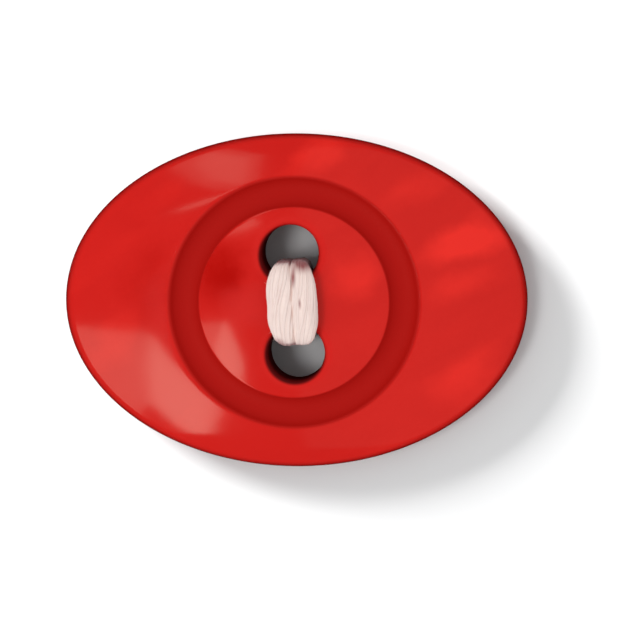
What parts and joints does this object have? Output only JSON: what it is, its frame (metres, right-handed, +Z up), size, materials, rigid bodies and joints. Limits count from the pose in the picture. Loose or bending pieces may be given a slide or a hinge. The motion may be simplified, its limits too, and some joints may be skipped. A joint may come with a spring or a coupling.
{
  "type": "oval two-hole sewing button with thread stitch",
  "caption": "Glossy oval sew-through button with a domed middle, a ring groove and two holes, held by a thread stitch over the bridge.",
  "frame": {"origin": "middle of the flat back, in the plane that the button rests on", "axes": "+X along the oval's length, +Y across it, +Z up through the domed face"},
  "size_m": [0.019, 0.0138, 0.0042],
  "materials": {
    "button_plastic": "polished cast plastic in red with a faint pearl",
    "cotton_thread": "soft twisted cotton, off-white"
  },
  "bodies": {
    "root": {"button": "button_plastic", "stitch": "cotton_thread"}
  },
  "joints": []
}
